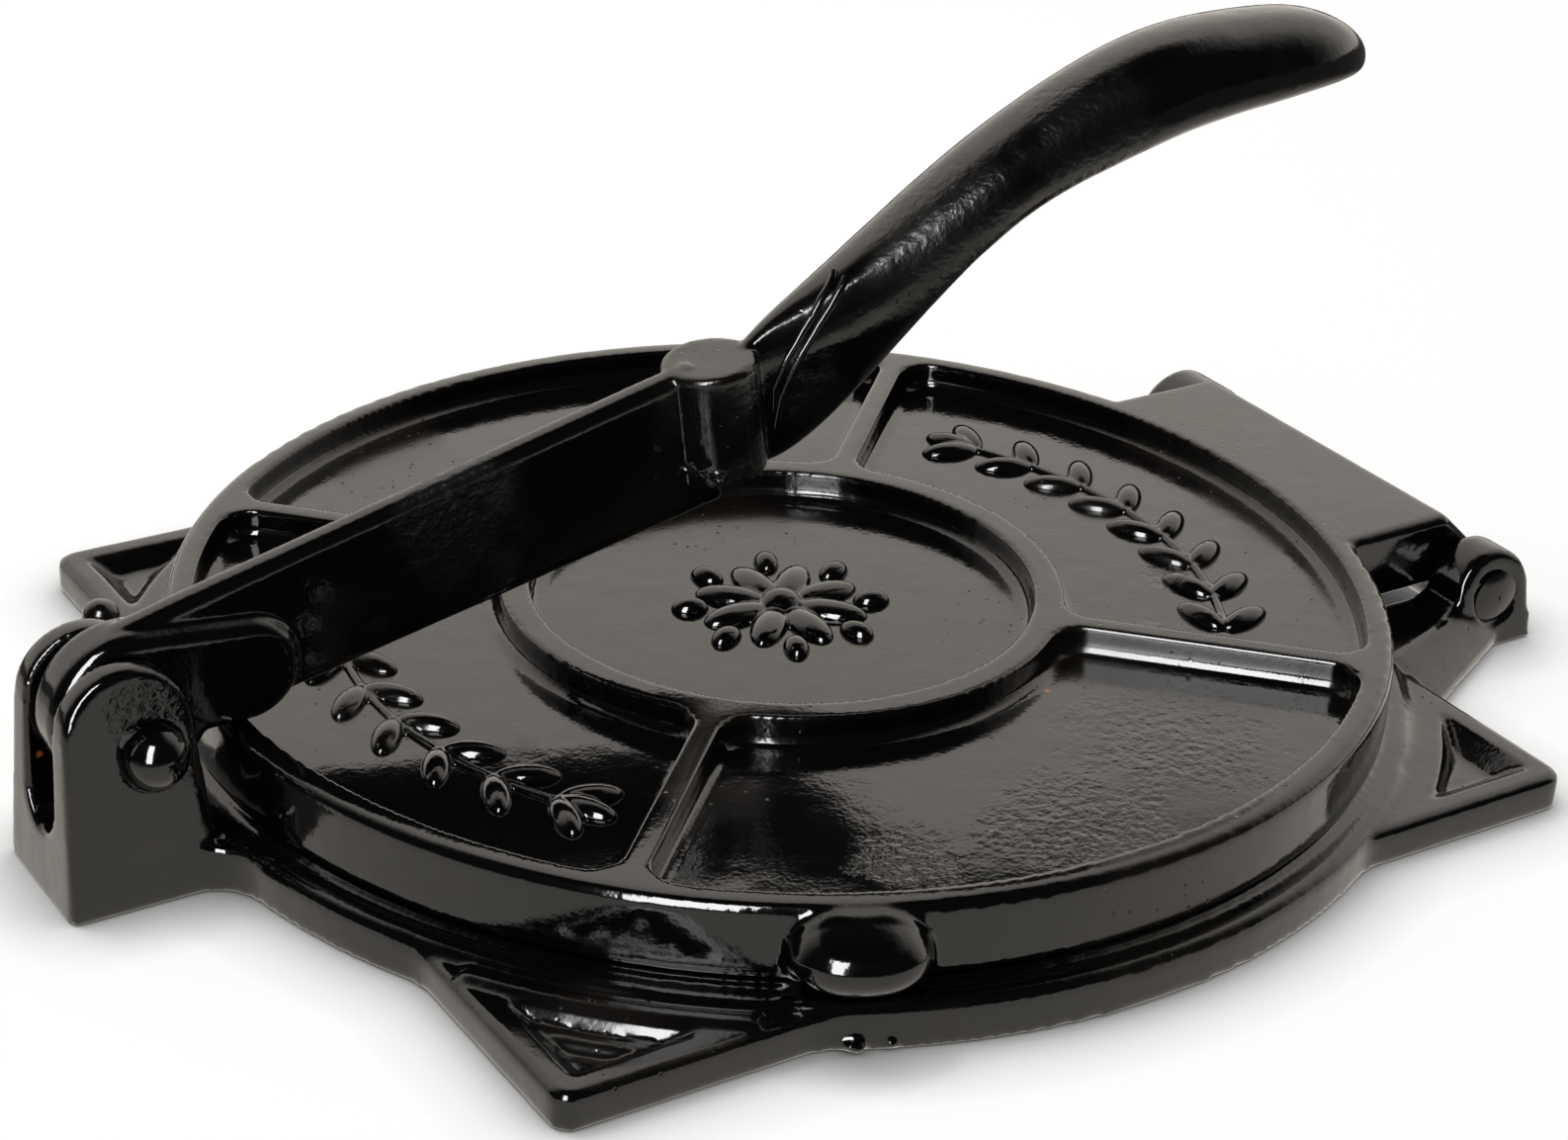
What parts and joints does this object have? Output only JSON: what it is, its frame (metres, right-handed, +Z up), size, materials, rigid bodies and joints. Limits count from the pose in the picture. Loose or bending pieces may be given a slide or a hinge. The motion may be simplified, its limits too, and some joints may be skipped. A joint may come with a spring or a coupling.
{
  "type": "tortilla press",
  "caption": "Hinged cast-iron press with two round plates and a long pivoting lever that squeezes dough flat between them.",
  "frame": {"origin": "middle of the two round plates, on the surface that the press stands on", "axes": "+X from the lever's clevis towards the plate hinge, +Z up, and +Y completes the right-handed frame"},
  "size_m": [0.257, 0.2086, 0.1061],
  "materials": {
    "enamelled_casting": "gloss black enamel over sand-cast iron",
    "enamelled_plate": "gloss black enamel over sand-cast iron",
    "enamelled_lever": "gloss black enamel over sand-cast iron",
    "painted_pin": "gloss black paint over steel"
  },
  "bodies": {
    "base": {"base": "enamelled_casting", "lever_pin": "painted_pin", "hinge_pin": "painted_pin"},
    "top_plate": {"top_plate": "enamelled_plate"},
    "lever": {"lever": "enamelled_lever"}
  },
  "joints": [
    {"name": "lever_pivot", "type": "hinge", "parent": "base", "child": "lever", "pos_m": [-0.1144, 0, 0.0243], "axis": [0, -1, 0], "range_deg": [0, 95]},
    {"name": "plate_hinge", "type": "hinge", "parent": "base", "child": "top_plate", "pos_m": [0.1195, 0, 0.009], "axis": [0, 1, 0], "range_deg": [0, 6.65]}
  ],
  "couplings": [
    {"joint": "plate_hinge", "follows": "lever_pivot", "ratio": 0.07}
  ]
}
